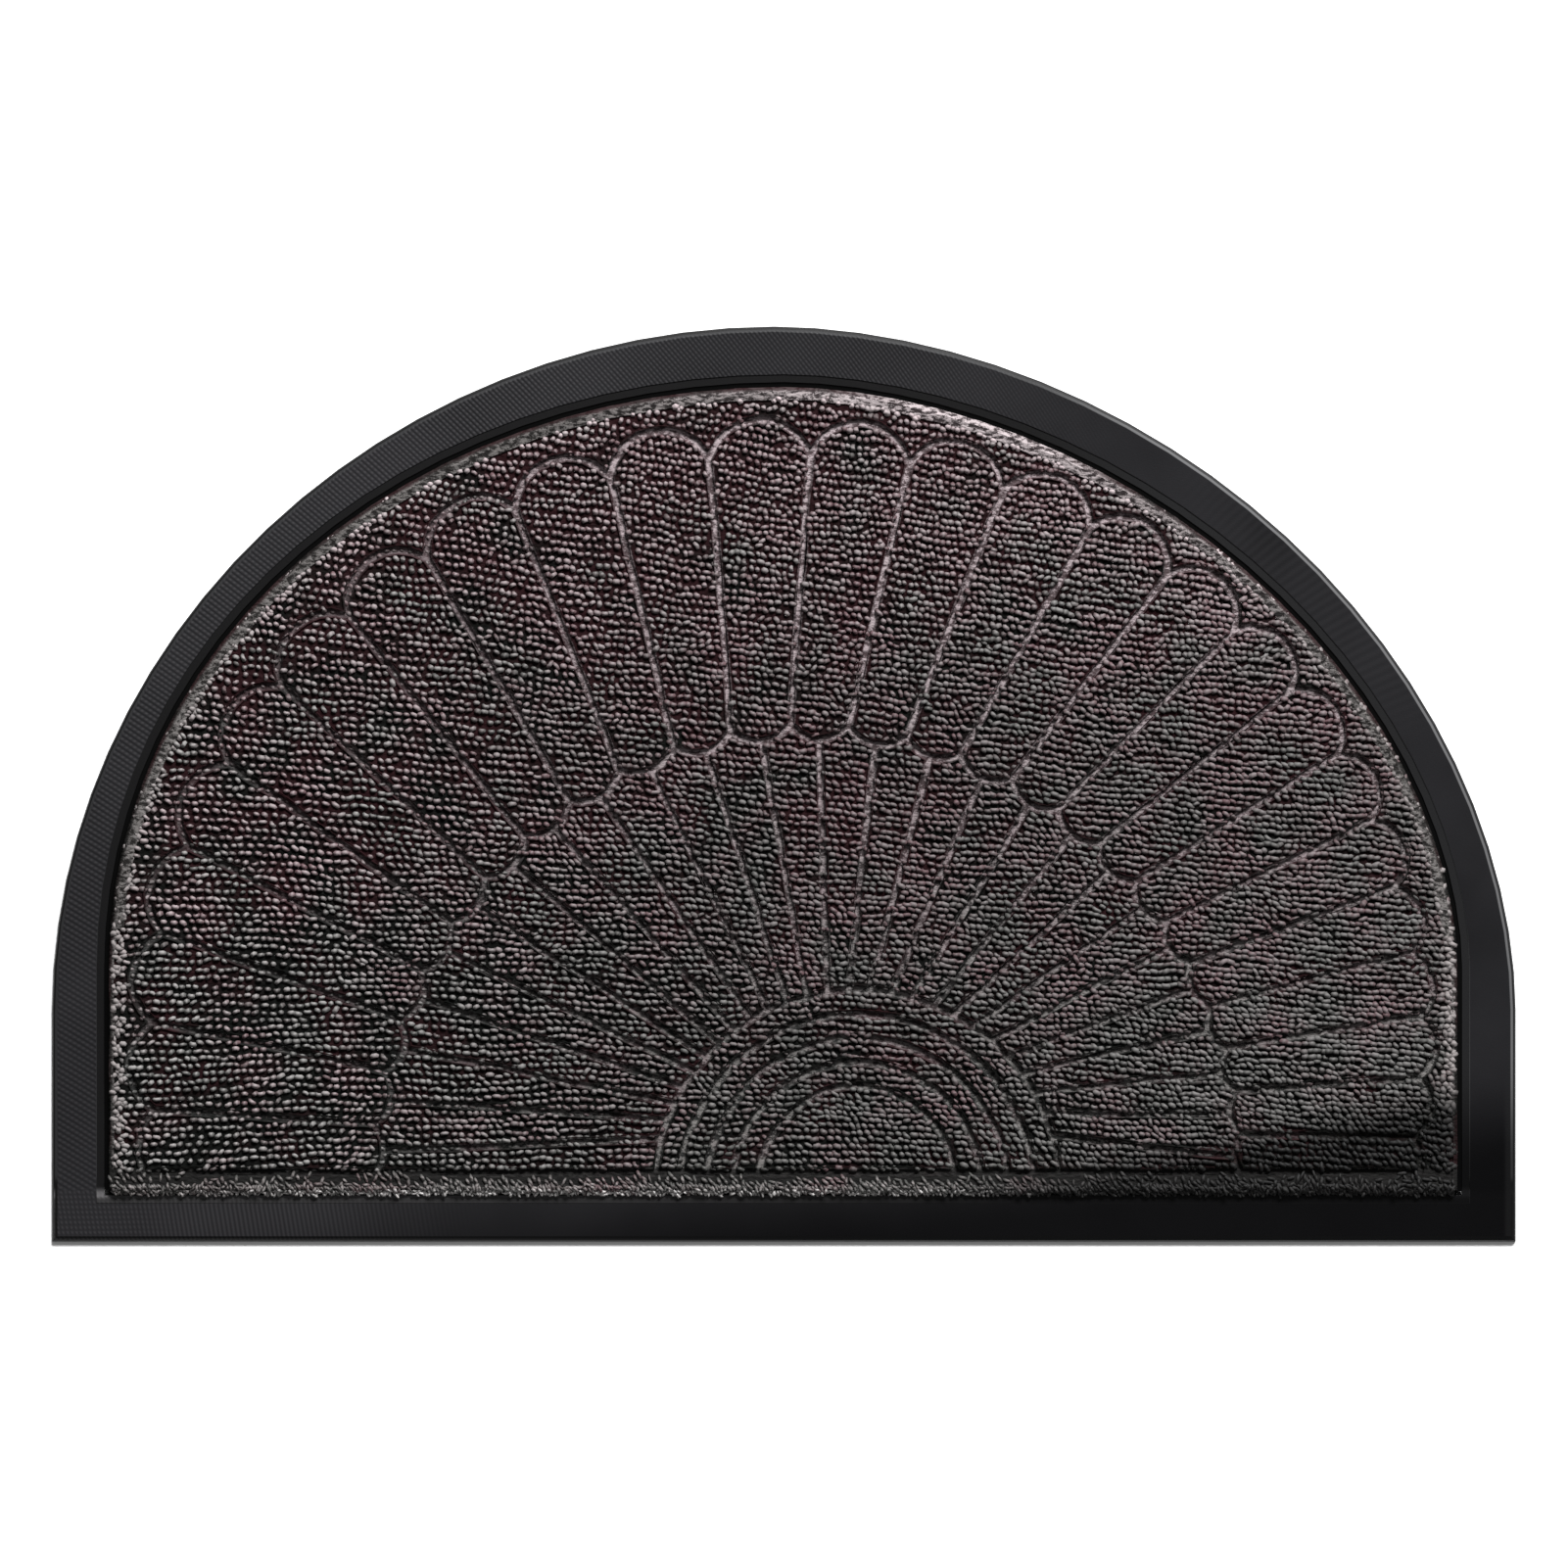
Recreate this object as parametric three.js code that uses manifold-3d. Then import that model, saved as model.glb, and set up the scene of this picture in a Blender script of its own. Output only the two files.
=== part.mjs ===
// A half-round doormat of two pieces: a moulded rubber base with a flat border, and the
// loop-pile carpet panel that is pressed into it. Grooves pressed into the pile draw a fan of
// petals, in two tiers, around a half rosette of rings.
// Millimetres. +X runs to the right along the straight side, +Y from the straight side to the
// top of the arch, +Z up. The origin is on the floor, under the middle of the mat.

import * as THREE from "three";
import { mergeVertices } from "three/addons/utils/BufferGeometryUtils.js";
import Module from "manifold-3d";

const wasm = await Module();
wasm.setup();

// Both outlines are arches: straight legs up to the spring, then a quarter of a superellipse
// to each side of the apex. Heights count from the straight side, x from the middle.
const DEPTH = 469;
const FRONT = -DEPTH / 2;
const EDGE = {
  apex: -5, left: -375, right: 375, foot: 0, spring: 119, top: DEPTH, leftPower: 1.97, rightPower: 1.88,
};
const SEAM = {
  apex: 0, left: -347, right: 346, foot: 25, spring: 141, top: 439, leftPower: 2.02, rightPower: 1.83,
};
const QUARTER_STEPS = 24;

// How far a block that cuts or joins another reaches past its faces
const OVERCUT = 10;

// The rubber base: a thin rim, a flat border, a lower strip along the seam, and the recess
const RUBBER = { rim: 1.2, top: 3, bevel: 3, strip: 2.6, stripWidth: 4, recess: 2 };
const SEAM_GAP = 1.2;

// The carpet panel: its underside, the level inside the slab where the raised blocks of pile
// begin, the floor of its grooves and the top of its pile
const PANEL = { bottom: 2.3, pileRoot: 2.7, grooveFloor: 4.5, pileTop: 7 };
const PANEL_RIM = { wall: 4, rise: 3.4, slope: 5.5, steps: 3 };
const GROOVE = { half: 1.5, bevel: 1, bevelRise: 1.2 };

// The fan stands on a base line and lies between three arches, all parts of ellipses. Its rays
// share out each arch: fan is the part of the half turn that they take, lean turns the middle
// ray to the left, and spread widens the petals at the top. Angles are in degrees.
const BASE_LINE = FRONT + 26;
const BASE_GROOVE = FRONT + 36;
const PETALS = 26;
const ARCHES = {
  rosette: { x: 37.5, up: 0, halfWidth: 104, height: 103, fan: 0.86, lean: 5.4, spread: 0 },
  tier: { x: 12.5, up: 0, halfWidth: 224.5, height: 239, fan: 0.98, lean: -5.3, spread: 3.7 },
  cusps: { x: 0.5, up: 72, halfWidth: 324.5, height: 305.5, fan: 1.157, lean: -11.3, spread: 3.8 },
};
const TIP_ROUND = { side: 0.24, top: 0.37, steps: 8 };
const FOOT_ROUND = { rise: 0.23, steps: 6 };
const RINGS = { count: 4, widthStep: 13.3, heightStep: 12.2, steps: 28 };

const degrees = Math.PI / 180;

// Points of an arch, counter-clockwise from its lower left corner
function archOutline(arch) {
  const points = [
    new THREE.Vector2(arch.left, FRONT + arch.foot),
    new THREE.Vector2(arch.right, FRONT + arch.foot),
  ];
  const rise = arch.top - arch.spring;
  const quarter = (side, power, angle) => new THREE.Vector2(
    arch.apex + (side - arch.apex) * Math.cos(angle) ** (2 / power),
    FRONT + arch.spring + rise * Math.sin(angle) ** (2 / power),
  );
  for (let i = 0; i < QUARTER_STEPS; i += 1) {
    points.push(quarter(arch.right, arch.rightPower, (i / QUARTER_STEPS) * 90 * degrees));
  }
  for (let i = QUARTER_STEPS; i >= 0; i -= 1) {
    points.push(quarter(arch.left, arch.leftPower, (i / QUARTER_STEPS) * 90 * degrees));
  }
  return points;
}

// Moves each side of a counter-clockwise outline inwards, or outwards for a negative distance
function inset(points, distance) {
  return points.map((point, i) => {
    const before = point.clone().sub(points.at(i - 1)).normalize();
    const after = points[(i + 1) % points.length].clone().sub(point).normalize();
    const inwards = new THREE.Vector2(-after.y, after.x);
    const mitre = new THREE.Vector2(-before.y - after.y, before.x + after.x).normalize();
    return point.clone().addScaledVector(mitre, distance / mitre.dot(inwards));
  });
}

// The circle arc that bulges by a rise to the right of the way from one point to another
function roundEnd(from, to, rise, steps) {
  const chord = from.distanceTo(to);
  const radius = (chord * chord / 4 + rise * rise) / (2 * rise);
  const half = Math.asin(chord / 2 / radius);
  const along = to.clone().sub(from).normalize();
  const across = new THREE.Vector2(along.y, -along.x);
  const centre = from.clone().lerp(to, 0.5).addScaledVector(across, rise - radius);
  const points = [];
  for (let i = 0; i <= steps; i += 1) {
    const turn = half * (2 * i / steps - 1);
    points.push(centre.clone()
      .addScaledVector(along, radius * Math.sin(turn))
      .addScaledVector(across, radius * Math.cos(turn)));
  }
  return { centre, radius, points };
}

// The point where a ray meets an arch, for shares from 0 at the left to 1 at the right
function onArch(arch, share) {
  const angle = degrees * (90 + arch.fan * (90 - 180 * share)
    + arch.lean * Math.sin(Math.PI * share) + arch.spread * Math.sin(2 * Math.PI * share));
  return new THREE.Vector2(
    arch.x + arch.halfWidth * Math.cos(angle),
    BASE_LINE + arch.up + arch.height * Math.sin(angle),
  );
}

// The round tip of an outer petal, from its right cusp to its left one
function petalTip(k) {
  const roundness = THREE.MathUtils.lerp(
    TIP_ROUND.side, TIP_ROUND.top, Math.sin(Math.PI * (k + 0.5) / PETALS),
  );
  const right = onArch(ARCHES.cusps, (k + 1) / PETALS);
  const left = onArch(ARCHES.cusps, k / PETALS);
  return roundEnd(right, left, roundness * right.distanceTo(left), TIP_ROUND.steps);
}

// The rounded foot of an outer petal, from its left corner to its right one
function petalFoot(k) {
  const left = onArch(ARCHES.tier, k / PETALS);
  const right = onArch(ARCHES.tier, (k + 1) / PETALS);
  return roundEnd(left, right, FOOT_ROUND.rise * left.distanceTo(right), FOOT_ROUND.steps).points;
}

function outerPetal(k) {
  return [...petalFoot(k), ...petalTip(k).points];
}

// An inner petal stands half a pitch aside, its top between the feet of two outer petals. The
// first and the last one reach down to the two ends of the rosette.
function innerPetal(k) {
  const { x, halfWidth } = ARCHES.rosette;
  const middle = FOOT_ROUND.steps / 2;
  const leftFoot = petalFoot(k - 1).slice(middle);
  const rightFoot = petalFoot(k).slice(1, middle + 1);
  const first = new THREE.Vector2(x - halfWidth, BASE_LINE);
  const last = new THREE.Vector2(x + halfWidth, BASE_LINE);
  return [
    k === 0 ? first : onArch(ARCHES.rosette, (k - 0.5) / PETALS),
    k === PETALS ? last : onArch(ARCHES.rosette, (k + 0.5) / PETALS),
    ...[...leftFoot, ...rightFoot].reverse(),
  ];
}

// A half ellipse of the rosette, from its right end to its left one
function ringLine(i) {
  const halfWidth = ARCHES.rosette.halfWidth - i * RINGS.widthStep;
  const height = ARCHES.rosette.height - i * RINGS.heightStep;
  const points = [];
  for (let step = 0; step <= RINGS.steps; step += 1) {
    const angle = Math.PI * step / RINGS.steps;
    points.push(new THREE.Vector2(
      ARCHES.rosette.x + halfWidth * Math.cos(angle), BASE_LINE + height * Math.sin(angle),
    ));
  }
  return points;
}

function ring(i) {
  return [...ringLine(i), ...ringLine(i + 1).reverse()];
}

// The line just outside all petal tips, from right to left, closed along the base groove.
// Two neighbouring tips meet where their circles, each grown by half a groove, cross.
function tipsOutline() {
  const grown = [];
  for (let k = PETALS - 1; k >= 0; k -= 1) {
    const { centre, radius } = petalTip(k);
    grown.push({ centre, radius: radius + GROOVE.half });
  }
  const level = BASE_GROOVE - GROOVE.half;
  const corners = grown.slice(1).map((left, i) => {
    const right = grown[i];
    const apart = left.centre.clone().sub(right.centre);
    const reach = (right.radius ** 2 - left.radius ** 2 + apart.lengthSq()) / (2 * apart.length());
    const aside = Math.sqrt(right.radius ** 2 - reach ** 2);
    const along = apart.normalize();
    const outwards = new THREE.Vector2(along.y, -along.x);
    return right.centre.clone().addScaledVector(along, reach).addScaledVector(outwards, aside);
  });
  const footOf = ({ centre, radius }, side) => new THREE.Vector2(
    centre.x + side * Math.sqrt(radius ** 2 - (level - centre.y) ** 2), level,
  );
  const ends = [footOf(grown[0], 1), ...corners, footOf(grown.at(-1), -1)];
  const points = [];
  grown.forEach(({ centre, radius }, i) => {
    const first = ends[i].clone().sub(centre).angle();
    const turn = (ends[i + 1].clone().sub(centre).angle() - first + 2 * Math.PI) % (2 * Math.PI);
    for (let step = 0; step < TIP_ROUND.steps; step += 1) {
      const angle = first + turn * step / TIP_ROUND.steps;
      points.push(new THREE.Vector2(
        centre.x + radius * Math.cos(angle), centre.y + radius * Math.sin(angle),
      ));
    }
  });
  points.push(ends.at(-1));
  return points;
}

// A closed geometry as a solid that can be joined and cut
function solidOf(geometry) {
  geometry.deleteAttribute("normal");
  geometry.deleteAttribute("uv");
  const merged = mergeVertices(geometry);
  return new wasm.Manifold(new wasm.Mesh({
    numProp: 3,
    vertProperties: new Float32Array(merged.attributes.position.array),
    triVerts: new Uint32Array(merged.index.array),
  }));
}

function geometryOf(solid) {
  const mesh = solid.getMesh();
  const geometry = new THREE.BufferGeometry();
  geometry.setAttribute("position", new THREE.BufferAttribute(mesh.vertProperties, 3));
  geometry.setIndex(new THREE.BufferAttribute(mesh.triVerts, 1));
  const loose = geometry.toNonIndexed();
  loose.computeVertexNormals();
  return loose;
}

// An outline raised from one level to another. A bevel draws its two ends in.
function raised(outline, from, to, bevel = null, hole = null) {
  const shape = new THREE.Shape(outline);
  if (hole) shape.holes.push(new THREE.Path(hole));
  const rise = bevel ? bevel.rise : 0;
  const geometry = new THREE.ExtrudeGeometry(shape, {
    depth: to - from - 2 * rise,
    bevelEnabled: bevel !== null,
    bevelThickness: rise,
    bevelSize: bevel ? bevel.size : 0,
    bevelOffset: bevel ? -bevel.size : 0,
    bevelSegments: bevel ? bevel.steps : 1,
  });
  geometry.translate(0, 0, from + rise);
  return solidOf(geometry);
}

// The base: a plate whose upper edge slopes down to a thin rim, cut level with the floor, with
// a shallow strip and the recess for the carpet cut into its top
function rubberBase() {
  const edge = archOutline(EDGE);
  const slope = RUBBER.top - RUBBER.rim;
  const plate = raised(edge, -RUBBER.top, RUBBER.top, { rise: slope, size: RUBBER.bevel, steps: 2 });
  const ground = raised(inset(edge, -OVERCUT), -RUBBER.top - OVERCUT, 0);
  const recess = inset(archOutline(SEAM), -SEAM_GAP);
  return plate
    .subtract(ground)
    .subtract(raised(inset(recess, -RUBBER.stripWidth), RUBBER.strip, RUBBER.top + OVERCUT))
    .subtract(raised(recess, RUBBER.recess, RUBBER.top + OVERCUT));
}

// Everything in front of the fan, up to the base groove, whose edge is bevelled as the others.
// The profile is drawn across the mat, and the matrix lays its y, z and length along Y, Z and X.
function frontOfFan() {
  const front = FRONT - OVERCUT;
  const edge = BASE_GROOVE + GROOVE.half;
  const top = PANEL.pileTop + OVERCUT;
  const profile = [
    [front, 0], [edge, 0], [edge, PANEL.pileTop - GROOVE.bevelRise],
    [edge + GROOVE.bevel, PANEL.pileTop], [edge + GROOVE.bevel, top], [front, top],
  ];
  const width = EDGE.right - EDGE.left;
  const shape = new THREE.Shape(profile.map(([y, z]) => new THREE.Vector2(y, z)));
  const geometry = new THREE.ExtrudeGeometry(shape, { depth: width, bevelEnabled: false });
  const turn = new THREE.Matrix4().set(0, 0, 1, EDGE.left, 1, 0, 0, 0, 0, 1, 0, 0, 0, 0, 0, 1);
  return solidOf(geometry.applyMatrix4(turn));
}

// The panel: a slab up to the groove floor, with a block of pile for each petal, each ring and
// the band around the fan, all drawn down together at the panel's rim
function carpetPanel() {
  const outline = inset(archOutline(SEAM), SEAM_GAP);
  const bevel = { rise: GROOVE.bevelRise, size: GROOVE.bevel, steps: 1 };
  const pile = (shape, hole) => raised(shape, PANEL.pileRoot, PANEL.pileTop, bevel, hole);
  const cells = [ringLine(RINGS.count)];
  for (let k = 0; k < PETALS; k += 1) cells.push(outerPetal(k));
  for (let k = 0; k <= PETALS; k += 1) cells.push(innerPetal(k));
  for (let i = 0; i < RINGS.count; i += 1) cells.push(ring(i));

  const fan = cells
    .map((cell) => pile(inset(cell, GROOVE.half)))
    .reduce((joined, block) => joined.add(block))
    .subtract(frontOfFan());
  const band = pile(inset(outline, -PANEL_RIM.slope), tipsOutline());
  const rim = { rise: PANEL_RIM.rise, size: PANEL_RIM.slope, steps: PANEL_RIM.steps };
  const hull = raised(outline, PANEL.bottom - PANEL_RIM.rise, PANEL_RIM.wall + PANEL_RIM.rise, rim);
  return raised(outline, PANEL.bottom, PANEL.grooveFloor).add(band).add(fan).intersect(hull);
}

const rubber = new THREE.MeshStandardMaterial({ color: 0x2d2d30, roughness: 0.75, metalness: 0 });
const carpet = new THREE.MeshStandardMaterial({ color: 0x463e3f, roughness: 0.95, metalness: 0 });

const base = new THREE.Mesh(geometryOf(rubberBase()), rubber);
base.name = "rubber_base";
const panel = new THREE.Mesh(geometryOf(carpetPanel()), carpet);
panel.name = "carpet_panel";

const doormat = new THREE.Group();
doormat.add(base, panel);

export default doormat;
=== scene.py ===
# The looks of a half-round doormat, in metres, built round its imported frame: a rubber tray, the
# pressed carpet sheet in it, and the loops of the pile.

import math

import bmesh
import bpy
import numpy as np
from mathutils import Matrix, Vector, noise
from mathutils.bvhtree import BVHTree


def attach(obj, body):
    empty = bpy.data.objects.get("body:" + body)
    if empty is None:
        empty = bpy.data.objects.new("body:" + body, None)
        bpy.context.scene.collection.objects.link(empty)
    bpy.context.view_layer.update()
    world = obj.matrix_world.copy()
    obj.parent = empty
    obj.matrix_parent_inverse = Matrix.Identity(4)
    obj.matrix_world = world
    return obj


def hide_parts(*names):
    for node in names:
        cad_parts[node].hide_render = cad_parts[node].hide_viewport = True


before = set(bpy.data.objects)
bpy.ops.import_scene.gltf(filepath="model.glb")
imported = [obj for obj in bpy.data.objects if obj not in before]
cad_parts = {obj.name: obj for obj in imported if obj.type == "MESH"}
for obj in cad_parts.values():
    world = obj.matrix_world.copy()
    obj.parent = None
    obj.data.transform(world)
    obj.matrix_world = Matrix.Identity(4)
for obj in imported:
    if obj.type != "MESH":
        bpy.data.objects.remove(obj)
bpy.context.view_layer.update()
MM = 0.001


# The rubber base is one moulded tray of charcoal rubber with a rounded edge. A woven sheet in
# the mould leaves its ribs on the flat border, slanting on the left and at the top, upright
# along the front. The right side, the recess and the arch's seam strip come out nearly smooth.
FULL_TURN = 2 * math.pi
BORDER_TOP = 3.0 * MM
TRAY_ROUND = 0.4 * MM
CREASE = math.radians(14)
WIDE_FACE = 60 * MM * MM

# Pitches of the ribs in the imprint, and of the gaps that cut them into dots
SLANT_RIB = 3.0 * MM
SLANT_DOT = 3.1 * MM
UPRIGHT_RIB = 2.3 * MM
UPRIGHT_DOT = 2.6 * MM
UPRIGHT_LEAN = 14.0 * MM


class Wire:
    """A number on a shader's wire. Arithmetic on it adds Math nodes to the finish."""

    def __init__(self, finish, socket):
        self.finish = finish
        self.socket = socket

    def __add__(self, other):
        return self.finish.math("ADD", self, other)

    def __radd__(self, other):
        return self.finish.math("ADD", other, self)

    def __sub__(self, other):
        return self.finish.math("SUBTRACT", self, other)

    def __rsub__(self, other):
        return self.finish.math("SUBTRACT", other, self)

    def __mul__(self, other):
        return self.finish.math("MULTIPLY", self, other)

    def __rmul__(self, other):
        return self.finish.math("MULTIPLY", other, self)


class Finish:
    """A material whose nodes are added one by one, with one Principled shader at its end."""

    def __init__(self, name):
        self.material = bpy.data.materials.new(name)
        self.material.use_nodes = True
        self.tree = self.material.node_tree
        self.tree.nodes.clear()
        self.place = self.node("ShaderNodeTexCoord", {}, {}, "Object")

    def node(self, kind, settings, inputs, out=0):
        made = self.tree.nodes.new(kind)
        for key, setting in settings.items():
            setattr(made, key, setting)
        for key, value in inputs.items():
            if isinstance(value, Wire):
                self.tree.links.new(value.socket, made.inputs[key])
            else:
                made.inputs[key].default_value = value
        return Wire(self, made.outputs[out]) if len(made.outputs) else made

    def math(self, operation, first, second=0.0):
        return self.node("ShaderNodeMath", {"operation": operation}, {0: first, 1: second})

    def parts(self, vector):
        first = self.node("ShaderNodeSeparateXYZ", {}, {0: vector})
        return [Wire(self, output) for output in first.socket.node.outputs]

    def attribute(self, name, out):
        return self.node("ShaderNodeAttribute", {"attribute_name": name}, {}, out)

    def wave(self, angle):
        return self.math("SINE", angle) * 0.5 + 0.5

    def cloud(self, scale, detail=2.0, where=None):
        return self.node("ShaderNodeTexNoise", {}, {
            "Vector": where or self.place, "Scale": scale, "Detail": detail,
        })

    def ease(self, value, start, full):
        """0 up to start, 1 from full on, and a soft change between the two."""
        return self.node("ShaderNodeMapRange", {"interpolation_type": "SMOOTHSTEP"}, {
            "Value": value, "From Min": start, "From Max": full,
        })

    def either(self, first, second):
        return first + (1.0 - first) * second

    def mix(self, share, first, second):
        ends = [end if isinstance(end, Wire) else (*end, 1.0) for end in (first, second)]
        return self.node(
            "ShaderNodeMix", {"data_type": "RGBA"}, {0: share, 6: ends[0], 7: ends[1]}, 2)

    def bump(self, height, depth, under=None):
        inputs = {"Height": height, "Distance": depth, "Strength": 1.0}
        if under:
            inputs["Normal"] = under
        return self.node("ShaderNodeBump", {}, inputs)

    def shade(self, inputs):
        shader = self.node("ShaderNodeBsdfPrincipled", {}, inputs)
        self.node("ShaderNodeOutputMaterial", {}, {"Surface": shader})
        return self.material


def arch_ribs(rubber, x, y, drift):
    """Slanting ribs cut into dots, crispest at the top left, and faint rays at the top right."""
    slant = y + x * 1.28 + x * x * 0.94
    ribs = rubber.wave(slant * (FULL_TURN / SLANT_RIB) + drift)
    dots = rubber.wave((y - x * 0.8) * (FULL_TURN / SLANT_DOT) + drift * 1.5)
    crisp = rubber.ease(y, -150 * MM, 100 * MM) * 0.4 + 0.6
    crisp = crisp * (1.0 - rubber.ease(x, -160 * MM, 0) * 0.4)
    fine = ribs * (dots * 0.5 + 0.5) * crisp * rubber.ease(x, 190 * MM, 40 * MM)
    angle = rubber.math("ARCTAN2", y + 90 * MM, x + 20 * MM)
    top_right = rubber.ease(x, 190 * MM, 250 * MM) * rubber.ease(y, 20 * MM, 60 * MM)
    return fine + rubber.wave(angle * 500.0 + drift) * top_right * 0.12


def front_ribs(rubber, x, y, drift):
    """Upright ribs that fade out towards the middle, cut into dots at the left corner."""
    across = x * (FULL_TURN / UPRIGHT_RIB) + y * (FULL_TURN / UPRIGHT_LEAN)
    ribs = rubber.wave(across + drift)
    dots = rubber.wave(y * (FULL_TURN / UPRIGHT_DOT) + drift)
    corner = rubber.ease(x, -300 * MM, -350 * MM)
    return ribs * (1.0 - corner * dots * 0.8) * rubber.ease(x, -140 * MM, -270 * MM)


def rubber_finish():
    rubber = Finish("charcoal_rubber")
    x, y, z = rubber.parts(rubber.place)
    right = rubber.ease(x, 120 * MM, 200 * MM)
    front = rubber.ease(y, -206 * MM, -212 * MM)
    recess = rubber.ease(z, 2.35 * MM, 2.1 * MM)
    strip = rubber.ease(z, 2.7 * MM, 2.62 * MM)
    front_top = rubber.ease(z, 2.45 * MM, 2.55 * MM) * front
    step = rubber.ease(z, 2.6 * MM, 2.7 * MM) * rubber.ease(z, 2.99 * MM, 2.93 * MM)

    # The imprint lies on the border, and along the front on the seam strip too
    drift = rubber.cloud(22.0) * 3.0
    ribs = front * front_ribs(rubber, x, y, drift)
    ribs = ribs + (1.0 - front) * arch_ribs(rubber, x, y, drift)
    imprint = ribs * rubber.either(front_top, rubber.ease(z, 2.75 * MM, 2.95 * MM))

    # Charcoal with smudges, greyer on the ribs and along the front
    smudge = rubber.ease(rubber.cloud(11.0, 4.0), 0.3, 0.7)
    charcoal = rubber.mix(smudge, (0.0035, 0.0034, 0.0041), (0.0079, 0.0077, 0.0089))
    greyer = imprint * (1.0 - front * 0.6) + front * 0.15
    colour = rubber.mix(greyer, charcoal, (0.026, 0.0252, 0.0272))

    # Round the arch the seam strip is dark. Along the front it is painted lighter, most beside
    # the pile, as painted light that lifts the pile's cast shadow.
    dark_strip = rubber.mix(right, (0.0028, 0.0027, 0.0029), (0.0065, 0.0065, 0.007))
    colour = rubber.mix(strip * (1.0 - front), colour, dark_strip)
    painted_light_mask = strip * front_top * (1.0 - rubber.ease(x, 40 * MM, 140 * MM) * 0.85)
    by_pile = rubber.ease(y, -213.6 * MM, -210 * MM)
    painted_light_colour = rubber.mix(by_pile, (0.02, 0.0195, 0.02), (0.085, 0.082, 0.085))
    colour = rubber.mix(painted_light_mask, colour, painted_light_colour)
    # Painted shade: the floor of the recess gap is painted nearly black.
    colour = rubber.mix(recess, colour, (0.001, 0.001, 0.001))

    # The step from strip to border is painted lighter round the arch, most at the right, as
    # painted light on its shaded wall, and dark at the front, as painted shade on its lit bevel.
    step_paint = rubber.mix(right, (0.016, 0.016, 0.017), (0.07, 0.07, 0.072))
    round_arch = rubber.ease(y, -205 * MM, -200 * MM)
    step_paint = rubber.mix(round_arch, (0.002, 0.002, 0.002), step_paint)
    colour = rubber.mix(step, colour, step_paint)

    # A painted shadow blackens the front right corner, which is also left smoother
    corner_shadow = rubber.ease(x - (y + 223 * MM) * 8.0, -338 * MM, 152 * MM) * 0.85
    colour = rubber.mix(corner_shadow, colour, (0.0005, 0.0005, 0.0006))

    # The front step is softened, and the bevels at both ends keep their plain gloss
    between_ends = rubber.ease(x * x, (370.5 * MM) ** 2, (368 * MM) ** 2)
    soft_step = (BORDER_TOP - z) * front * rubber.ease(y, -226 * MM, -222 * MM) * between_ends
    grain = rubber.cloud(1400.0, 3.0)
    polish = corner_shadow * (1.0 - step) * between_ends * 0.3 + recess * 0.3 - step * front * 0.4
    relief = rubber.bump(soft_step, 1.8)
    relief = rubber.bump(grain, 0.04 * MM, relief)
    return rubber.shade({
        "Base Color": colour,
        "Roughness": grain * 0.15 + 0.45 - polish,
        "Specular IOR Level": 0.12,
        "Normal": rubber.bump(imprint, 0.13 * MM, relief),
    })


def copy_of(node):
    """A CAD node's mesh to work on, with its loose triangles merged into whole faces."""
    bm = bmesh.new()
    bm.from_mesh(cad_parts[node].data)
    bmesh.ops.remove_doubles(bm, verts=bm.verts, dist=0.001 * MM)
    bmesh.ops.dissolve_limit(bm, angle_limit=math.radians(0.5), verts=bm.verts, edges=bm.edges)
    return bm


def mesh_of(bm, name):
    mesh = bpy.data.meshes.new(name)
    bm.to_mesh(mesh)
    bm.free()
    return mesh


def piece_of(mesh, finish):
    mesh.materials.append(finish)
    piece = bpy.data.objects.new(mesh.name, mesh)
    bpy.context.scene.collection.objects.link(piece)
    return piece


tray = copy_of("rubber_base")
creases = [e for e in tray.edges if e.calc_face_angle(0) > CREASE]
bmesh.ops.bevel(
    tray, geom=creases, offset=TRAY_ROUND, affect="EDGES", segments=2, profile=0.5, material=-1,
    clamp_overlap=True, loop_slide=True,
)
for face in tray.faces:
    face.smooth = face.calc_area() < WIDE_FACE
rubber_tray = piece_of(mesh_of(tray, "rubber_tray"), rubber_finish())
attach(rubber_tray, "root")
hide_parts("rubber_base")


# The carpet is one sheet of loop pile on a thin backing, cut to the recess. Hot dies press it
# down in the grooves and round its edge, where the fibres felt together and look paler. Inside
# each petal the ground lies low and dark between the feet of the loops.
PILE_TOP = 7.0 * MM
LIP_TOP = 6.2 * MM
GROUND = 5.4 * MM
BACKING_TOP = 4.2 * MM
LEVEL_SLACK = 0.1 * MM
LIP = 0.4 * MM
LONGEST_EDGE = 5 * MM

# The felted rim draws the band's outer line in, less along the front. Depths count from the
# cut line: where the band's outer line is found, and how far the rim and its cut edge reach.
FELT = 3.5 * MM
FRONT_FELT = 0.75 * FELT
BAND_DEPTH = 3.9 * MM
RIM_DEPTH = FELT + 4 * MM
CUT_DEPTH = 4.5 * MM

# Lines along the front: where the band begins, and where the sheet lies down to its ground
BAND_FRONT = -199 * MM
FLAT_FRONT = -197.6 * MM

# The grooves stray from their lines: noise waves a metre, and how far they reach
WAVER = (45, 0.9 * MM)
TREMBLE = (170, 0.35 * MM)


def painted_lamp_side(finish, x, y):
    """How far the pile is painted pale, as painted light: most at the back, and hardly at the far
    left.
    """
    return finish.ease(y, -170 * MM, 190 * MM) * finish.ease(x, -330 * MM, -140 * MM)


def painted_corner_shadow(finish, x, y, full):
    """The painted shadow on the pile in the front right corner, complete at the line called full.
    """
    return finish.ease(y - x * 0.2, -214 * MM, full)


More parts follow.
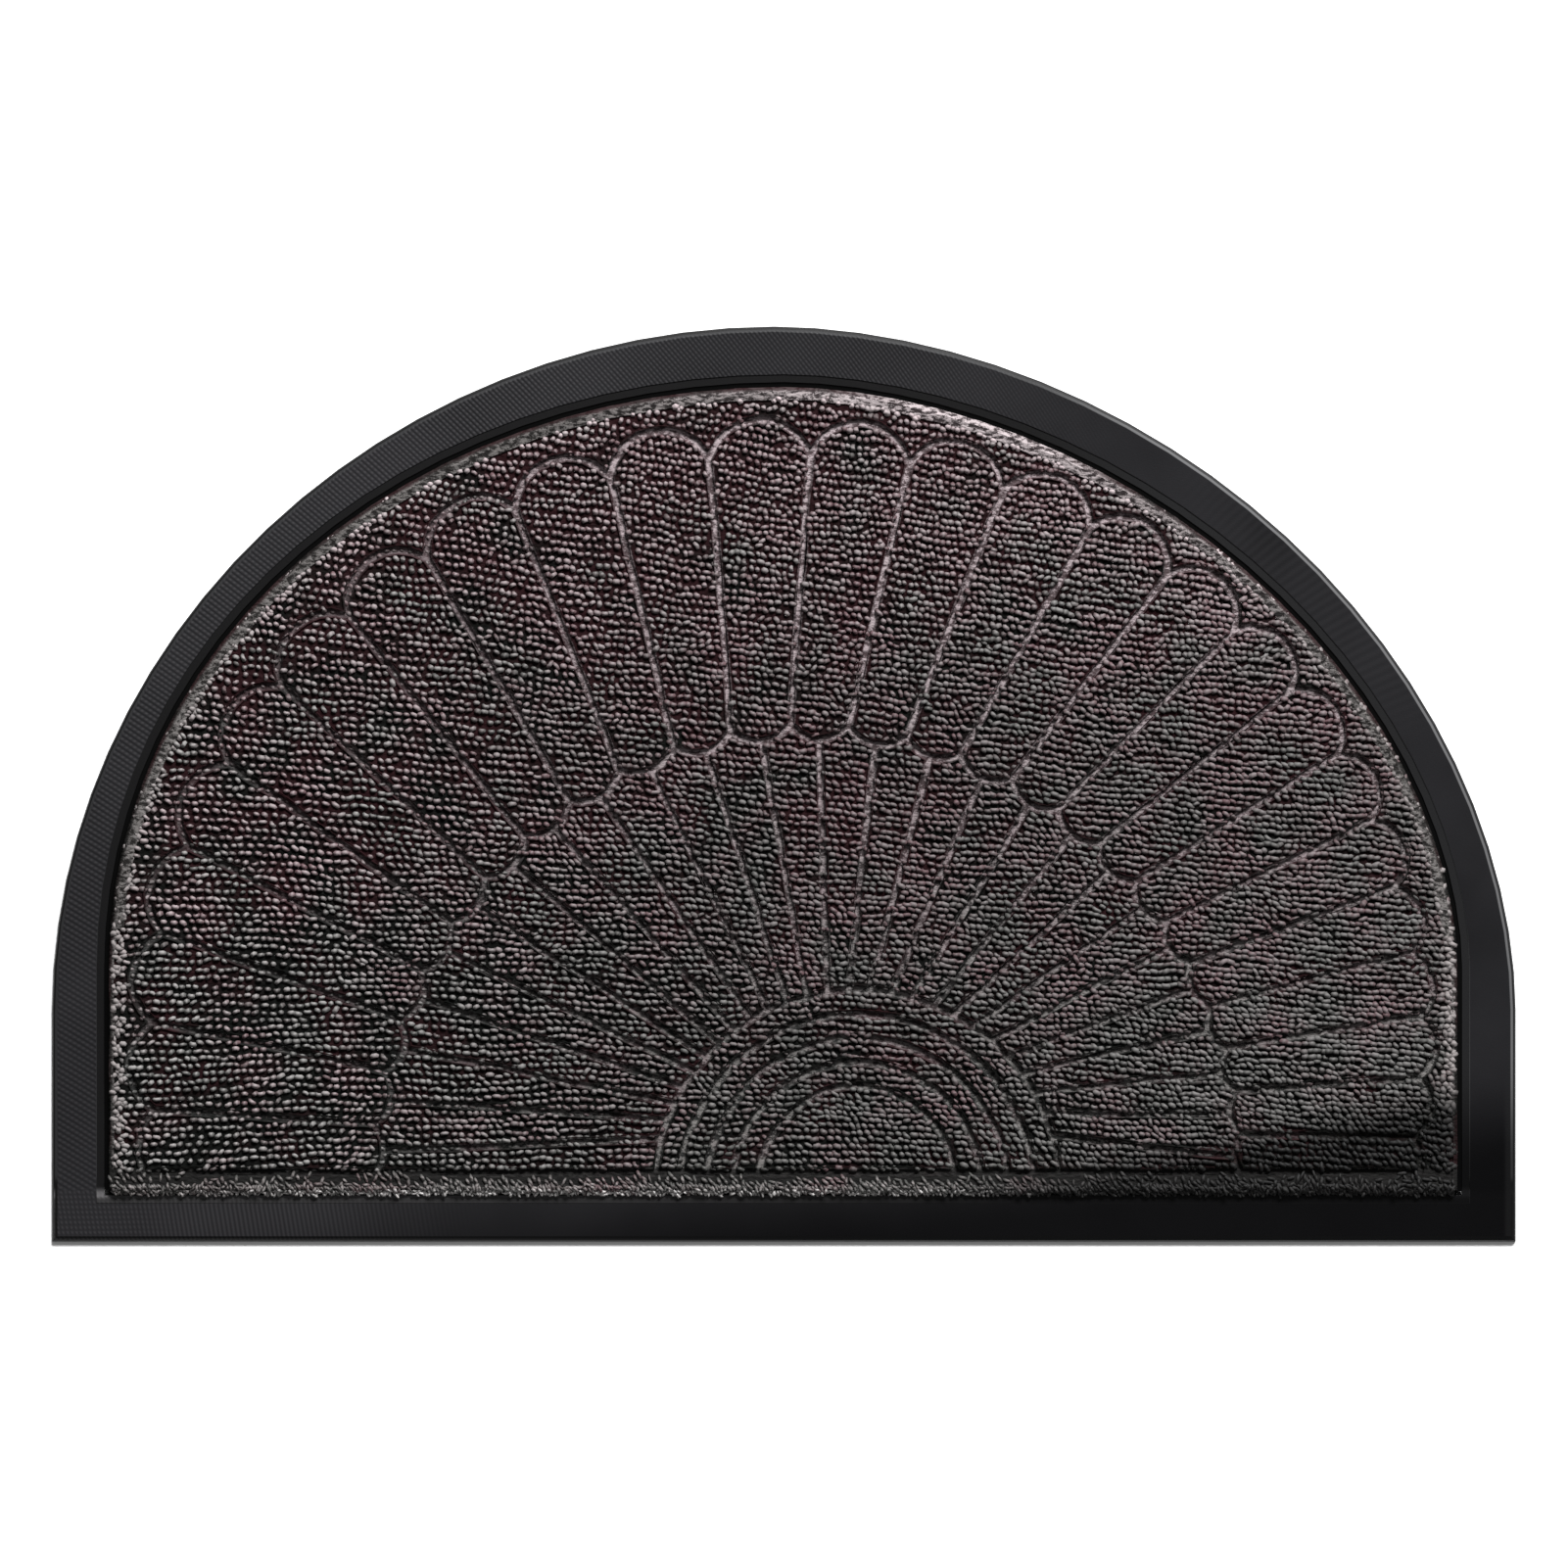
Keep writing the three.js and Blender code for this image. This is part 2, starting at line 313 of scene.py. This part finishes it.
def pressed_finish():
    pressed = Finish("pressed_pile")
    x, y = pressed.parts(pressed.place)[:2]
    ground, rim, outer = (pressed.attribute(name, "Fac") for name in ("ground", "rim", "outer"))

    # Felted fibres lie in clumps along the lean of the loops
    along_lean = pressed.node("ShaderNodeMapping", {}, {
        "Vector": pressed.place, "Rotation": (0, 0, math.radians(28)), "Scale": (0.8, 1.6, 1.0),
    })
    clumps = pressed.cloud(330.0, 2.0, along_lean)
    fibres = pressed.cloud(1500.0, 3.0)
    felt = pressed.ease(clumps * 0.75 + fibres * 0.35, 0.47, 0.64)

    # In the grooves: dim and pale fibres, both painted lighter towards the back as painted light
    warm = pressed.ease(pressed.cloud(45.0, 3.0) + y * 0.5, 0.35, 0.65)
    lamp_side = painted_lamp_side(pressed, x, y)
    dim = pressed.mix(warm, (0.014, 0.0145, 0.014), (0.024, 0.0145, 0.0155))
    dim = pressed.mix(lamp_side, dim, (0.05, 0.036, 0.038))
    pale = pressed.mix(warm, (0.115, 0.11, 0.106), (0.138, 0.11, 0.115))
    pale = pressed.mix(lamp_side, pale, (0.27, 0.225, 0.235))
    deep = pressed.mix(warm, (0.0018, 0.002, 0.0017), (0.011, 0.003, 0.0038))

    # On the rim: the same two, painted lightest in the top middle as painted light
    painted_rim_light = pressed.ease(x, -130 * MM, 90 * MM) * pressed.ease(x, 300 * MM, 90 * MM)
    painted_rim_light = painted_rim_light * pressed.ease(y, -20 * MM, 80 * MM)
    rim_dim = pressed.mix(painted_rim_light, (0.012, 0.011, 0.0105), (0.028, 0.022, 0.023))
    rim_pale = pressed.mix(painted_rim_light, (0.11, 0.103, 0.10), (0.31, 0.27, 0.275))
    dim = pressed.mix(rim, dim, rim_dim)
    pale = pressed.mix(rim, pale, rim_pale)

    # At the left the grooves are painted dim instead of pale, as painted shade
    painted_left_shade = pressed.ease(x, -50 * MM, -220 * MM) * (1.0 - rim) * 0.7
    pale = pressed.mix(painted_left_shade, pale, dim)

    # The cut edge is painted dark as painted shade, less where it stays bright at the back, the
    # front right corner carries a painted shadow, and the base groove is painted dark as painted
    # shade, as is the sheet before it
    bright = pressed.ease(x, 20 * MM, 70 * MM) * pressed.ease(x, 175 * MM, 130 * MM)
    bright = bright * pressed.ease(y, 0, 90 * MM)
    cut = pressed.ease(outer + (clumps - 0.5) * 0.9, 0.4, 0.8) * (0.9 - bright * 0.8)
    front = pressed.ease(y, -196.3 * MM, FLAT_FRONT)
    deep = pressed.mix(front, deep, (0.008, 0.0077, 0.0075))
    dark = pressed.either(cut * rim, painted_corner_shadow(pressed, x, y, -243 * MM) * 0.9)
    dark = pressed.either(dark, front * 0.9)
    colour = pressed.mix(ground, pressed.mix(felt, dim, pale), deep)
    return pressed.shade({
        "Base Color": pressed.mix(dark, colour, deep),
        "Roughness": fibres * 0.2 + 0.7,
        "Specular IOR Level": 0.06,
        "Normal": pressed.bump(clumps, 0.9 * MM, pressed.bump(fibres, 0.15 * MM)),
    })


sheet = copy_of("carpet_panel")
backing = max((f for f in sheet.faces if f.normal.z < -0.99), key=lambda f: f.calc_area())
underside = backing.calc_area()
cut_line = np.array([v.co.xy[:] for v in backing.verts])
cut_sides = np.roll(cut_line, -1, axis=0) - cut_line


def to_edge(x, y):
    """The way from a point of the sheet to the nearest point of its cut line."""
    offset = cut_line - np.array([x, y])
    share = -(offset * cut_sides).sum(axis=1) / (cut_sides * cut_sides).sum(axis=1)
    offset += np.clip(share, 0, 1)[:, None] * cut_sides
    return offset[np.hypot(*offset.T).argmin()]


def depth_inside(x, y):
    return math.hypot(*to_edge(x, y))


# Long edges are divided, so that every line of the pressed shape can stray a little
bmesh.ops.remove_doubles(sheet, verts=sheet.verts, dist=0.05 * MM)
most_parts = math.ceil(max(e.calc_length() for e in sheet.edges) / LONGEST_EDGE)
for parts in range(2, most_parts + 1):
    long = [e for e in sheet.edges if math.ceil(e.calc_length() / LONGEST_EDGE) == parts]
    if long:
        bmesh.ops.bisect_edges(sheet, edges=long, cuts=parts - 1)
plateau = [
    f for f in sheet.faces
    if f.normal.z > 0.99 and abs(f.calc_center_median().z - PILE_TOP) < LEVEL_SLACK
]
for vert in sheet.verts:
    if vert.co.z > BACKING_TOP:
        flat = Vector((vert.co.x, vert.co.y, 0))
        for scale, reach in (WAVER, TREMBLE):
            place = flat * scale
            astray = noise.noise(place), noise.noise(place + Vector((0, 0, 9)))
            vert.co += Vector((*astray, 0)) * reach
pressed_shape = BVHTree.FromBMesh(sheet)

# The band draws in from the felted rim, and every raised field gets a narrow lip
band = max(plateau, key=lambda f: f.calc_area())
for vert in band.verts:
    offset = to_edge(*vert.co.xy)
    distance = math.hypot(*offset)
    if distance < BAND_DEPTH:
        reach = FELT if vert.co.y > BAND_FRONT else FRONT_FELT
        vert.co.xy -= Vector(offset) * (reach / distance)
for vert in {v for f in plateau for v in f.verts}:
    vert.co.z = LIP_TOP
bmesh.ops.inset_region(
    sheet, faces=plateau, thickness=LIP, depth=0, use_boundary=True, use_even_offset=True,
)
for vert in sheet.verts:
    if vert.co.y < FLAT_FRONT and vert.co.z > GROUND:
        vert.co.z = GROUND

# Each corner of the sheet says whether it is ground, felted rim or cut edge
ground_layer = sheet.verts.layers.float.new("ground")
rim_layer = sheet.verts.layers.float.new("rim")
outer_layer = sheet.verts.layers.float.new("outer")
for vert in sheet.verts:
    inside = depth_inside(*vert.co.xy)
    vert[outer_layer] = max(0.0, 1 - inside / CUT_DEPTH)
    if inside < RIM_DEPTH:
        vert[rim_layer] = 1.0
    elif vert.co.z > LIP_TOP - LEVEL_SLACK:
        vert[ground_layer] = 1.0
    elif vert.co.z > GROUND + LEVEL_SLACK:
        vert[ground_layer] = 0.6
for vert in {v for f in plateau for v in f.verts}:
    vert.co.z = GROUND
    vert[ground_layer] = 1.0
for face in sheet.faces:
    face.smooth = len(face.verts) < 12 and abs(face.normal.z) < 0.999
carpet_sheet = piece_of(mesh_of(sheet, "carpet_sheet"), pressed_finish())
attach(carpet_sheet, "root")
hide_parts("carpet_panel")


# The pile is rows of short loops of a heather yarn, dark and pale strands spun together, and
# tufted through the backing. Most loops lean down to the right. The dies press them flat along
# the edge, and at the front their fibres fray over the seam.
YARN = 1.05 * MM
ARCH = 1.45 * MM
FLATTER = 0.5
SIDES = 5
STEPS = 4
LEAN = math.radians(-17)

# The rows across the mat: how they close up to the right, bow, spread to the back and fall
ROWS = range(-66, 69)
ROW_PITCH = 3.45 * MM
LOOP_PITCH = 3.85 * MM
ROW_END = 350 * MM
CLOSE_UP = 0.42
BOW = 0.5
SPREAD = 0.00136
SPREAD_FROM = -25
FALL = 0.096

# Arches of the fan, in millimetres: middle, base, half width and height
ROSETTE = (37.5, -208.5, 104, 103)
TIER = (12.5, -208.5, 226, 239)
CUSPS = (0, -136.5, 345, 325)

# The outer petals are three pieces, which part at this distance left and right of the middle
TOP_PETALS = 110 * MM

# Between two lines at the left and right the rim is felted, and beyond them loops cover it.
# Depths count from the cut line: of the slope, of the felted rim, and of the whole edge.
FELTED_LEFT = -200 * MM
FELTED_RIGHT = 205 * MM
SLOPE_DEPTH = 5 * MM
FELTED_DEPTH = 6 * MM
EDGE_DEPTH = 7 * MM

# The base groove lies between the fan and the strip along the front
GROOVE_BACK = -198.6 * MM
STRIP_BACK = -201.2 * MM

# No loop stands where the pressed shape is lower than this, at the felted rim, at the other
# edges and in the fan. Below the slope's top a loop sinks along with the slope.
RIM_LEVEL = 3.9 * MM
EDGE_LEVEL = 2.9 * MM
FAN_LEVEL = 4.75 * MM
SLOPE_TOP = 4.9 * MM

# Rows of frayed fibres in millimetres: their place and how far they hang, and where they end
FRINGE = ((-206.6, 0.4), (-207.9, 1.0), (-209.2, 1.7))
FRINGE_END = 342


def loop_finish():
    yarn = Finish("heather_yarn")
    x, y = yarn.parts(yarn.place)[:2]
    shade, rise, felted = yarn.parts(yarn.attribute("make", "Vector"))
    cosine, sine, along = yarn.parts(yarn.attribute("twist", "Vector"))

    # Strands wind round the yarn, with fibres and lumps, and a painted highlight makes the loop's
    # crown palest
    wound = along * 15.0
    ply = yarn.math("SINE", wound) * cosine + yarn.math("COSINE", wound) * sine
    fibres = yarn.cloud(2200.0, 2.0)
    lumps = yarn.cloud(750.0, 1.0)
    crown_highlight = yarn.ease(yarn.math("ABSOLUTE", along - 0.5), 0.33, 0.03)
    tone = shade * 0.8 + ply * 0.06 + fibres * 0.3 + lumps * 0.8 + crown_highlight * 0.44 - 0.6
    strands = yarn.ease(tone, 0.1, 1.0)

    # Dark strands, and pale ones that are brightest at the left and at the back
    warm = yarn.ease(yarn.cloud(38.0, 3.0) + y * 0.5, 0.3, 0.7)
    dark = yarn.mix(warm, (0.036, 0.036, 0.034), (0.068, 0.038, 0.042))
    pale_left = yarn.mix(warm, (0.18, 0.174, 0.17), (0.215, 0.174, 0.18))
    pale_right = yarn.mix(warm, (0.09, 0.087, 0.085), (0.107, 0.087, 0.09))
    dull = yarn.ease(x, -330 * MM, 30 * MM) * (1.0 - yarn.ease(y, 0, 150 * MM) * 0.6)
    pale = yarn.mix(dull, pale_left, pale_right)

    # Felted loops at the edge, painted lighter towards the back as painted light, and the frayed
    # fibres over the front seam, painted near white as painted light in the pile's shadow
    lamp_side = painted_lamp_side(yarn, x, y) * yarn.ease(x, 300 * MM, 170 * MM)
    felt = yarn.mix(lamp_side, (0.16, 0.145, 0.143), (0.36, 0.30, 0.31))
    fringe_light = yarn.ease(y, -207 * MM, -208.4 * MM) * yarn.ease(x, -350 * MM, -200 * MM)
    felt = yarn.mix(fringe_light, felt, (0.6, 0.58, 0.57))

    heather = yarn.mix(strands, dark, yarn.mix(felted, pale, felt))
    # Painted shadow over the front right corner of the pile
    corner_shadow = painted_corner_shadow(yarn, x, y, -240 * MM) * 0.96
    colour = yarn.mix(corner_shadow, heather, (0.004, 0.004, 0.004))
    # Painted shade darkens each loop to near black towards its feet, less on pressed loops.
    return yarn.shade({
        "Base Color": yarn.mix(yarn.ease(rise, 0.0, 0.5), (0.002, 0.0012, 0.0012), colour),
        "Roughness": fibres * 0.2 + 0.6,
        "Specular IOR Level": 0.2,
        "Normal": yarn.bump(ply, 0.08 * MM, yarn.bump(fibres, 0.08 * MM)),
    })


def loop_template():
    """One loop: a ring of yarn spun through half a turn, with its two feet closed."""
    bm = bmesh.new()
    circle = bmesh.ops.create_circle(
        bm, cap_ends=False, segments=SIDES, radius=YARN, matrix=Matrix.Translation((ARCH, 0, 0)),
    )
    bmesh.ops.spin(
        bm, geom=circle["verts"] + bm.edges[:], cent=(0, 0, 0), axis=(0, 1, 0),
        angle=-math.pi, steps=STEPS, use_merge=False, use_duplicate=False,
    )
    bmesh.ops.holes_fill(bm, edges=[e for e in bm.edges if e.is_boundary], sides=0)
    bmesh.ops.recalc_face_normals(bm, faces=bm.faces)
    bmesh.ops.triangulate(bm, faces=bm.faces)
    corners = np.array([v.co for v in bm.verts])
    # Spin lists its faces in another order each time, so they are sorted
    faces = np.array(sorted([v.index for v in f.verts] for f in bm.faces))
    bm.free()
    return corners, faces


# Where each corner of the loop lies round and along its yarn, before its top is flattened
corners, corner_faces = loop_template()
sweep = np.clip(np.arctan2(corners[:, 2], corners[:, 0]), 0, math.pi)
centre_line = np.stack([np.cos(sweep), 0 * sweep, np.sin(sweep)], axis=1) * ARCH
outwards = ((corners - centre_line) * centre_line).sum(axis=1) / ARCH / YARN
twist_of_corner = np.stack([outwards, corners[:, 1] / YARN, sweep / math.pi], axis=1)
corners[:, 2] += ARCH * (np.sin(sweep) ** FLATTER - np.sin(sweep))
rise_of_corner = corners[:, 2] / (ARCH + YARN)


def ramp(value, start, full):
    """0 up to start, 1 from full on, and an even change between the two."""
    return np.clip((value - start) / (full - start), 0, 1)


def level(x, y):
    hit = pressed_shape.ray_cast(Vector((x, y, 1)), Vector((0, 0, -1)))[0]
    return hit.z if hit else 0.0


def in_groove(x, y):
    """Whether a loop would stand in a groove here or, towards the back, too near to one."""
    clear = (0.6 + 0.4 * ramp(x, 100 * MM, 200 * MM)) * ramp(y, -60 * MM, 100 * MM) * MM
    return min(level(x, y), level(x - clear, y), level(x + clear, y)) < FAN_LEVEL


def beyond_groove(x, y):
    """1 where a groove lies just inwards of this loop, which slumps into it, and else 0."""
    middle, base = ROSETTE[:2]
    inwards = Vector((middle * MM - x, base * MM - y)).normalized() * 2.5 * MM
    return 1.0 if 3.9 * MM < level(x + inwards.x, y + inwards.y) < 6.5 * MM else 0.0


def within(x, y, arch):
    middle, base, half_width, height = (size * MM for size in arch)
    return math.hypot((x - middle) / half_width, (y - base) / height) < 1


def group_of(x, y):
    if within(x, y, ROSETTE):
        return "rosette"
    if within(x, y, TIER):
        return "inner_petals"
    if y < BAND_FRONT or not within(x, y, CUSPS):
        return "band"
    if abs(x) < TOP_PETALS:
        return "outer_petals_top"
    return "outer_petals_left" if x < 0 else "outer_petals_right"


def row_stray(row, x):
    """How far a row strays from its line at x, in millimetres."""
    slow = noise.noise(Vector((x * 18, row * 0.09, 0.5)))
    quick = noise.noise(Vector((x * 70, row * 0.35, 7.5)))
    return 3.0 * slow + 0.8 * quick


# The loops are set row by row, and in a row they come closer to the right and to the back. A
# streak of pale or dark yarn runs on from loop to loop. Each member of a group is one loop: x, y,
# how far it is pressed, its streak with any painted highlight, turn and slump, whether it is on
# the strip, how far it sinks.
draw = np.random.default_rng(11)
groups = {}
for row in ROWS:
    past = max(row - SPREAD_FROM, 0) ** 2 - SPREAD_FROM ** 2
    rise_of_row = ROW_PITCH * (row + SPREAD * past)
    back = max(rise_of_row, 0)
    x = -ROW_END + (2 * (row % 2) + draw.uniform(-0.6, 0.6)) * MM
    streak = 0.0
    while x < ROW_END:
        x += LOOP_PITCH * (1 - 0.4 * x - 0.9 * back) * draw.uniform(0.75, 1.25)
        streak = 0.35 * streak + draw.normal(0, 0.93)
        y = rise_of_row * (1 - CLOSE_UP * x + BOW * x * x) - FALL * x
        y += (row_stray(row, x) + draw.normal(0, 0.3 + 1.2 * max(y, 0))) * MM
        here = level(x, y)
        felted_left = FELTED_LEFT + draw.normal(0, 40 * MM)
        felted_edge = felted_left < x < FELTED_RIGHT + draw.normal(0, 20 * MM)
        if here < (RIM_LEVEL if felted_edge or y < -195 * MM else EDGE_LEVEL):
            continue
        if STRIP_BACK < y < GROOVE_BACK:
            continue

        # Loops slump beside a groove and sink on the slope of the edge. None stands in a
        # groove, but towards the left more and more of them lie sunk in it.
        inside = depth_inside(x, y)
        strip = y < STRIP_BACK
        slumped = beyond_groove(x, y) if inside > EDGE_DEPTH else 0.0
        sunk = 0.0
        if inside <= SLOPE_DEPTH and not strip:
            sunk = max(0.0, SLOPE_TOP - here) / MM
        if inside > EDGE_DEPTH and not strip and in_groove(x, y):
            if draw.uniform() > ramp(x, -90 * MM, -180 * MM):
                continue
            slumped = 0.6
            sunk = 0.6 * (PILE_TOP - here) / MM
        if felted_edge and inside < FELTED_DEPTH and not strip:
            continue

        # Pressed loops along the edge carry a painted highlight, and many lie double
        press = 1.0 if strip else ramp(inside, 9 * MM, 5 * MM)
        painted_glint = 0.0 if y < -190 * MM else 2.5 * ramp(inside, 14 * MM, 9 * MM)
        painted_glint *= ramp(x, 260 * MM, 180 * MM)
        turn = 12 * noise.noise(Vector((x * 40, y * 40, 3.3)))
        spots = [(x, y)]
        if press > 0.6 and not (strip and draw.uniform() > 0.5):
            spots.append((x + 1.9 * MM, y + draw.choice([-1.8, 1.8]) * MM))
        for spot in spots:
            if level(*spot) > BACKING_TOP and (strip or depth_inside(*spot) > 2 * MM):
                member = (*spot, press, streak + painted_glint, turn, slumped, strip, sunk)
                groups.setdefault(group_of(*spot), []).append(member)

# Frayed fibres hang over the front seam, each made as a small loop that is lowered
for y, drop in FRINGE:
    x = -FRINGE_END - 2.5
    while x < FRINGE_END:
        x += draw.uniform(0.9, 1.9)
        spot = (x * MM, (y + draw.normal(0, 0.4)) * MM)
        groups["band"].append((*spot, 1, draw.normal(), 0, 0, 1, drop))


def lean_of(group, x, y, press, turn, strip):
    """The way that each loop leans, in radians from the row, and most freely on the band."""
    steep = 5 * ramp(y, -115 * MM, -175 * MM)
    lean = LEAN * (1 + x * np.where(x < 0, 1 - 22 * y, steep - 1.1)) + np.radians(turn) * 2
    loose = 0.3 + 2.5 * np.maximum(y, 0) + 0.9 * press
    lean += draw.normal(0, 1, len(x)) * loose
    lean = np.where(strip, draw.normal(-0.95, 0.4, len(x)), lean)
    if group == "band":
        lean += draw.normal(0, 0.6, len(x))
    return lean


def loops_of(group, members):
    """The loops of one group, joined into one mesh."""
    count = len(members)
    x, y, press, streak, turn, slumped, strip, drop = np.array(members).T
    right = np.maximum(x, 0)
    back = np.maximum(y, 0)
    lean = lean_of(group, x, y, press, turn, strip)
    tilt = draw.normal(0, 0.26, count) * (1 - press)
    foot = (5.0 + 0.2 * press - drop) * MM
    top = 7.1 - 0.6 * press - 0.9 * slumped - 0.3 * strip - drop + draw.normal(0, 0.2, count)
    size = draw.uniform(0.76, 1.16, (count, 3))
    size[:, 0] *= draw.uniform(0.85, 1.18, count) * (1.0 + 0.2 * x - 1.2 * back)
    size[:, 1] *= 1.14 + 0.3 * right + 0.9 * back + 0.2 * press - 0.55 * strip
    size[:, 2] = (top * MM - foot) / (ARCH + YARN)

    # Tilted across the row first, then turned to its lean and set in its place
    local = corners[None] * size[:, None]
    cos, sin = np.cos(tilt)[:, None], np.sin(tilt)[:, None]
    upright = local[:, :, 2] * cos + local[:, :, 1] * sin
    across = local[:, :, 1] * cos - local[:, :, 2] * sin
    cos, sin = np.cos(lean)[:, None], np.sin(lean)[:, None]
    points = np.stack([
        local[:, :, 0] * cos - across * sin + x[:, None],
        local[:, :, 0] * sin + across * cos + y[:, None],
        upright + foot[:, None],
    ], axis=2).reshape(-1, 3)
    first_corner = np.arange(count) * len(corners)
    faces = (corner_faces[None] + first_corner[:, None, None]).reshape(-1, 3)
    mesh = bpy.data.meshes.new("loops_" + group)
    mesh.from_pydata(points.tolist(), [], faces.tolist())
    mesh.polygons.foreach_set("use_smooth", np.ones(len(faces), bool))

    # What the yarn's finish needs to know: shade, rise over the foot, and how far felted
    shade = 0.42 + 0.12 * streak + draw.normal(0, 0.18, count)
    # Slumped loops are painted darker, as painted shade. Pressed loops are paler; strip loops are
    # darker, less so on the lower fringe rows, which are lifted as painted light in the pile's
    # shadow.
    shade = shade * (1 - 0.75 * slumped) + 0.3 * press - (0.68 - 0.34 * drop) * strip
    shade = np.clip(shade, 0.0, 1.0)
    rise = rise_of_corner[None] * (1 - 0.5 * press[:, None]) + 0.5 * press[:, None]
    make = np.stack([
        np.repeat(shade, len(corners)), rise.ravel(), np.repeat(press, len(corners)),
    ], axis=1)
    twist = np.tile(twist_of_corner, (count, 1))
    for name, values in (("make", make), ("twist", twist)):
        layer = mesh.attributes.new(name, "FLOAT_VECTOR", "POINT")
        layer.data.foreach_set("vector", values.astype(np.float32).ravel())
    return mesh


yarn_finish = loop_finish()
for group, members in groups.items():
    loops = piece_of(loops_of(group, members), yarn_finish)
    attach(loops, "root")


# A pale floor and soft studio light: one broad lamp low behind the arch, a little to the right,
# and an even fill from all round. The camera looks straight down from four metres.
FLOOR_HALF = 4.0
FILL = 0.22
LAMP_TURN = math.radians(20)
LAMP_HEIGHT = math.radians(33)
LAMP_DISTANCE = 5.5
CAMERA_HEIGHT = 4.003

floor_shape = bmesh.new()
bmesh.ops.create_grid(floor_shape, x_segments=2, y_segments=2, size=FLOOR_HALF)
floor_finish = Finish("pale_floor")
floor_colour = floor_finish.mix(floor_finish.cloud(3.0), (0.93, 0.93, 0.93), (0.96, 0.96, 0.96))
floor_material = floor_finish.shade({"Base Color": floor_colour, "Roughness": 0.9})
floor = piece_of(mesh_of(floor_shape, "floor"), floor_material)

world = bpy.data.worlds.new("studio")
bpy.context.scene.world = world
world.use_nodes = True
world.node_tree.nodes["Background"].inputs["Color"].default_value = (1, 1, 1, 1)
world.node_tree.nodes["Background"].inputs["Strength"].default_value = FILL

lamp = bpy.data.lights.new("key", "AREA")
lamp.shape = "RECTANGLE"
lamp.size = 3.0
lamp.size_y = 1.5
lamp.energy = 1000
key = bpy.data.objects.new("key", lamp)
direction = Vector((
    math.sin(LAMP_TURN) * math.cos(LAMP_HEIGHT), math.cos(LAMP_TURN) * math.cos(LAMP_HEIGHT),
    math.sin(LAMP_HEIGHT),
))
key.location = direction * LAMP_DISTANCE
key.rotation_euler = direction.to_track_quat("Z", "Y").to_euler()
bpy.context.scene.collection.objects.link(key)

eye = bpy.data.cameras.new("camera")
eye.lens = 179.3
eye.sensor_width = 36
camera = bpy.data.objects.new("camera", eye)
camera.location = (0, 0, CAMERA_HEIGHT)
bpy.context.scene.collection.objects.link(camera)
bpy.context.scene.camera = camera
bpy.context.scene.view_settings.view_transform = "Standard"
